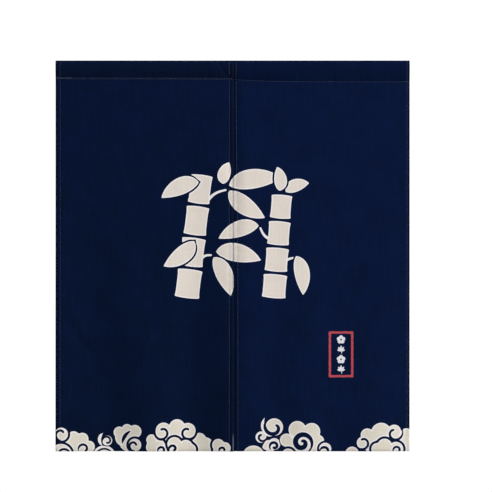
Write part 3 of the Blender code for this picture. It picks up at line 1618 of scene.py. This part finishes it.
@dataclass(frozen=True)
class PaintedFloor:
    """Matt floor paint, rolled on, so pale and dry that it throws back light without a highlight.

    Attributes:
        name: the material's name.
        colour: its colour.
        roughness: how matt it is.
    """

    name: str = "matt_floor_paint"
    colour: str = "#E9E8E4"
    roughness: float = 0.9

    def build(self) -> Finish:
        """Make the material.

        Returns:
            The material.
        """
        material, _, shader = new_material(self.name)
        shader.inputs["Base Color"].default_value = linear(self.colour)
        shader.inputs["Roughness"].default_value = self.roughness
        return material


@dataclass
class Studio:
    """Camera, soft light and a plain floor.

    Attributes:
        frame_width: width of what the camera sees at the cloth.
        look_at: the middle of the view, as x and z.
        distance: from the camera to the cloth.
        floor: height of the floor, which lies as far below as under a door curtain that is hung up.
        room_light: strength with which the white room lights the cloth.
        backdrop_light: strength with which its backdrop shows.
    """

    frame_width: float = 1.1326
    look_at: tuple[float, float] = (0.0308, -0.427)
    distance: float = 8.0
    floor: float = -1.95
    room_light: float = 0.20
    backdrop_light: float = 1.05

    def camera(self) -> None:
        """Set the camera square to the cloth, far off, as a product photographer does."""
        data = bpy.data.cameras.new("camera")
        data.sensor_width = 36.0
        data.lens = data.sensor_width * self.distance / self.frame_width
        camera = bpy.data.objects.new("camera", data)
        camera.location = (self.look_at[0], -self.distance, self.look_at[1])
        camera.rotation_euler = (math.radians(90.0), 0.0, 0.0)
        bpy.context.scene.collection.objects.link(camera)
        bpy.context.scene.camera = camera

    def lights(self) -> None:
        """One broad soft light high and far on the right, and one behind for the reverse."""
        aim = Vector((0.0, 0.0, -DROP / 2))
        for name, place, size, power in (
            ("key", (9.6, -6.0, 6.9), 5.6, 2700.0),
            ("behind", (-3.5, 4.0, 1.2), 2.5, 240.0),
        ):
            data = bpy.data.lights.new(name, "AREA")
            data.size = size
            data.energy = power
            light = bpy.data.objects.new(name, data)
            light.location = place
            light.rotation_euler = (aim - Vector(place)).to_track_quat("-Z", "Y").to_euler()
            bpy.context.scene.collection.objects.link(light)

    def surroundings(self) -> None:
        """A white backdrop all round that lights the cloth less than it shows."""
        world = bpy.data.worlds.new("white_room")
        world.use_nodes = True
        tree = world.node_tree
        tree.nodes.clear()
        white = (1.0, 1.0, 1.0, 1.0)
        seen = add_node(tree, "ShaderNodeLightPath").outputs["Is Camera Ray"]
        room, backdrop = (
            add_node(tree, "ShaderNodeBackground", {"Color": white, "Strength": strength})
            for strength in (self.room_light, self.backdrop_light)
        )
        both = add_node(
            tree, "ShaderNodeMixShader", {0: seen, 1: room.outputs[0], 2: backdrop.outputs[0]}
        )
        add_node(tree, "ShaderNodeOutputWorld", {"Surface": both.outputs[0]})
        bpy.context.scene.world = world
        bpy.context.scene.view_settings.view_transform = "Standard"

    def ground(self) -> None:
        """Lay the floor."""
        bm = bmesh.new()
        bmesh.ops.create_grid(bm, x_segments=1, y_segments=1, size=3.0)
        bmesh.ops.translate(bm, vec=(0.0, 0.0, self.floor), verts=bm.verts[:])
        mesh = bpy.data.meshes.new("floor")
        bm.to_mesh(mesh)
        bm.free()
        mesh.materials.append(PaintedFloor().build())
        floor = bpy.data.objects.new("floor", mesh)
        bpy.context.scene.collection.objects.link(floor)

    def build(self) -> None:
        """Set up the whole studio."""
        self.camera()
        self.lights()
        self.surroundings()
        self.ground()


@dataclass
class Noren:
    """The two panels with their pockets and sewing, in the places that the frame gives them.

    Attributes:
        seams: the left and the right pocket's seam.
        hems: widths of the left and the right panel's side hems.
        leans: each panel's lean.
        folds: what bends each panel.
        pocket_folds: creases in each pocket's front wall.
        artwork: the print, which runs over both panels.
        flat: width and length that each panel and its pocket were cut to.
        stitch_lift: how far the thread stands out of the cloth.
        hem_thread: thickness of each panel's side hem stitching beside the usual.
        seam_thread: the same of the seams' stitching on the face.
        second_row: how far below the left seam's first row its second one runs.
        tacks: points of the seam, of 260, that each bar tack at its outer end covers.
        tack_rows: how far above and below the seam the bar tacks' rows lie.
        tack_thread: thickness of their stitching beside the usual.
        over: how far the second row and the bar tacks lie over the first row.
        slit_hems: how each panel's hem at the slit differs from a plain one.
        slit_shade_strips: width of each panel's strip along the slit where thinned ink paints shade.
        slit_gap: how much closer the pockets meet at the slit than the frame's solids do.
        grounds: each panel's dye, as the colours of its lightest and darkest threads, also the ends of its
            painted shade.
        painted_shade_down: how far each panel's navy is painted darker down the cloth, as painted shade.
        pocket_shaded_grounds: the dye of each pocket, a shade darker than its panel's, as painted shade.
        reverse_ground: the dye of the cloth's back, which has faded less evenly.
    """

    seams: tuple[Seam, Seam] = (Seam(0.0412, 0.0403, 0.200), Seam(0.0433, 0.0491, 0.060))
    hems: tuple = ((0.0105, 0.0102), (0.0125, 0.0060))
    leans: tuple[float, float] = (0.0, 4.2 * MM)
    folds: tuple = (
        (
            Fold(-0.400, -0.410, 0.042, -0.060, 0.0064),
            Fold(-0.420, -0.272, 0.045, -0.160, -0.0060),
            Fold(-0.300, -0.176, 0.052, -0.180, 0.0052),
            Fold(-0.070, -0.100, 0.048, -0.060, -0.0056),
            Fold(0.026, 0.020, 0.066, -0.100, 0.0088),
            Crease((-0.376, -0.606), (-0.326, -0.682), 0.011, -0.0016),
            Crease((-0.398, -0.250), (-0.340, -0.300), 0.012, -0.0012),
            Crease((-0.012, -0.150), (-0.004, -0.245), 0.016, -0.0018),
            Crease((-0.180, -0.700), (-0.120, -0.860), 0.020, 0.0014),
        ),
        (
            Tuck(),
            Fold(0.085, 0.104, 0.040, -0.080, -0.0022),
            Fold(0.150, 0.172, 0.046, -0.220, 0.0018),
            Fold(0.235, 0.250, 0.040, -0.340, -0.0014),
            Fold(0.330, 0.322, 0.050, -0.140, 0.0018),
            Fold(0.405, 0.412, 0.045, -0.060, -0.0050),
            Crease((0.392, -0.560), (0.340, -0.640), 0.014, -0.0012),
            Crease((0.060, -0.130), (0.110, -0.180), 0.016, -0.0009),
        ),
    )
    pocket_folds: tuple = (
        (
            Crease((-0.030, -0.011), (-0.010, -0.039), 0.0045, -0.0019),
            Crease((-0.330, -0.016), (-0.250, -0.024), 0.006, -0.0009),
        ),
        (
            Crease((0.060, -0.020), (0.130, -0.014), 0.006, -0.0008),
            Crease((0.352, -0.030), (0.385, -0.012), 0.005, -0.0009),
        ),
    )
    artwork: Artwork = field(default_factory=Artwork)
    flat: tuple[float, float] = (0.451, 0.965)
    stitch_lift: float = 0.12 * MM
    hem_thread: tuple[float, float] = (1.0, 1.25)
    seam_thread: float = 0.85
    second_row: float = 2.1 * MM
    tacks: tuple[slice, slice] = (slice(0, 26), slice(-6, None))
    tack_rows: float = 0.5 * MM
    tack_thread: float = 1.2
    over: float = 0.1 * MM
    slit_hems: tuple = ({"depth": 0.80, "rubbed": 0.03, "rubbed_low": 0.75}, {"depth": 0.62})
    # painted shade: the ink along the slit lies thinned over these widths
    slit_shade_strips: tuple[float, float] = (3.0 * MM, 0.8 * MM)
    slit_gap: float = 0.25 * MM
    grounds: tuple = (("#061434", "#040F26"), ("#071639", "#05112B"))
    # painted shade: each panel's navy darkens down the drop, more on the left
    painted_shade_down: tuple[float, float] = (0.5, 0.3)
    # painted shade: the pockets' navy is a shade darker than the panels'
    pocket_shaded_grounds: tuple = (("#071430", "#040E24"), ("#061434", "#040F29"))
    reverse_ground: tuple[str, str] = ("#0E1B38", "#0A142B")

    def edge_paths(self, panel: Panel, pocket: Pocket, line: float) -> list[Array]:
        """Where a side hem is stitched.

        Args:
            panel: the panel.
            pocket: its pocket.
            line: the hem's stitching line.

        Returns:
            Paths on the panel's face, on its back and round the pocket.
        """
        z = np.linspace(-DROP + 2.0 * MM, -float(panel.seam.depth(line)) - 1.0 * MM, 300)
        x = np.full_like(z, line)
        face = np.stack([x + panel.drift(x, z), panel.front(x, z) - self.stitch_lift, z], axis=1)
        back = face + (0.0, panel.hemmed + 2.0 * self.stitch_lift, 0.0)
        share = np.linspace(0.03, 0.90, 60)
        x = np.full_like(share, line) + panel.drift(line, 0.0)
        y, up = pocket.section(x, share)
        outward = np.where(share < 0.5, -1.0, 1.0)
        return [face, back, np.stack([x, y + outward * self.stitch_lift, up], axis=1)]

    def sew(self, side: int, panel: Panel, pocket: Pocket) -> Sewing:
        """Sew one panel's side hems and its pocket.

        Args:
            side: 0 for the left panel and 1 for the right one.
            panel: the panel.
            pocket: its pocket.

        Returns:
            All its stitches.
        """
        sewing = Sewing(("left_stitching", "right_stitching")[side])
        for line in panel.hem_lines():
            for path in self.edge_paths(panel, pocket, line):
                sewing.run(path, weight=self.hem_thread[side])
        x = np.linspace(pocket.span[0] + 1.5 * MM, pocket.span[1] - 1.5 * MM, 260)
        z = -panel.seam.depth(x)
        face = np.stack([x, panel.front(x, z) - self.stitch_lift, z], axis=1)
        back_y = pocket.section(x, np.full_like(x, 0.985))[0] + self.stitch_lift
        sewing.run(face, weight=self.seam_thread)
        sewing.run(np.stack([x, back_y, z], axis=1))
        if side == 0:
            sewing.run(face + (0.0, -self.over, -self.second_row), weight=self.seam_thread)
        for shift in (-self.tack_rows, self.tack_rows):
            sewing.run(face[self.tacks[side]] + (0.0, -self.over, shift), weight=self.tack_thread)
        return sewing

    def dress(self, side: int, panel: Panel) -> list[Finish]:
        """Make one panel's cottons: its printed face, its reverse and its pocket's outside.

        Args:
            side: 0 for the left panel and 1 for the right one.
            panel: the panel, for its hems.

        Returns:
            The three materials.
        """
        word = ("left", "right")[side]
        hems = [Hem(edge, line) for edge, line in zip(panel.span, panel.hem_lines())]
        hems[1 - side] = replace(hems[1 - side], **self.slit_hems[side])
        face = SlubCotton(
            f"navy_slub_cotton_{word}", ground=self.grounds[side], painted_shade_down=self.painted_shade_down[side], hems=hems
        )
        reverse = SlubCotton(
            f"navy_slub_cotton_{word}_reverse", ground=self.reverse_ground, opacity=0.06
        )
        pocket = SlubCotton(
            f"navy_slub_cotton_{word}_pocket", ground=self.pocket_shaded_grounds[side], painted_shade_down=0.0,
            printed=False, hems=hems,
        )
        return [finish.build() for finish in (face, reverse, pocket)]

    def build(self) -> None:
        """Build, dress and declare every piece."""
        inside = SlubCotton("navy_slub_cotton_inside", ground=self.reverse_ground, printed=False).build()
        thread = SewingThread().build()
        for side, word in enumerate(("left", "right")):
            low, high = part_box(f"panel_{word}")
            panel = Panel(
                f"cloth_{word}", (low.x, high.x), self.hems[side],
                seam=self.seams[side], folds=self.folds[side], lean=self.leans[side],
                slit_edge=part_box("panel_left")[1].x, slit_side=(-1.0, 1.0)[side],
                slit_shade_strip=self.slit_shade_strips[side],
            )
            low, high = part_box(f"heading_{word}")
            span = (low.x - self.slit_gap * side, high.x)
            lines = [line + float(panel.drift(line, 0.0)) for line in panel.hem_lines()]
            pocket = Pocket(
                f"rod_pocket_{word}", span, (lines[0] - span[0], span[1] - lines[1]),
                seam=self.seams[side], panel=panel, folds=self.pocket_folds[side],
            )
            face, reverse, turned = self.dress(side, panel)
            cloth = panel.build(self.artwork, [face, reverse])
            strip = pocket.build([turned, inside])
            sewing = self.sew(side, panel, pocket).build(thread)
            bare = self.artwork.bare_cloth
            self.artwork.print_on(sewing, lambda x, y, z: np.where(y < panel.push(x, z), -bare, bare))
            self.declare(word, cloth, strip, sewing)

    def declare(self, word: str, cloth: Piece, strip: Piece, sewing: Piece) -> None:
        """Attach one side's pieces to the root body, log their faces, and hide the frame's parts that they
        replace.

        Args:
            word: left or right.
            cloth: the panel.
            strip: its pocket.
            sewing: its stitches.
        """
        for piece, slot in ((cloth, "printed_cloth"), (strip, "pocket_cloth"), (sewing, "printed_cloth")):
            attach(piece, "root")
            LOG.info("%s: %d faces", piece.name, len(piece.data.polygons))
        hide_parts(f"panel_{word}")
        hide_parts(f"heading_{word}")


def main() -> None:
    """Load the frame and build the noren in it."""
    logging.basicConfig(level=logging.INFO, format="%(name)s: %(message)s")
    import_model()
    Studio().build()
    Noren().build()


if __name__ == "__main__":
    main()
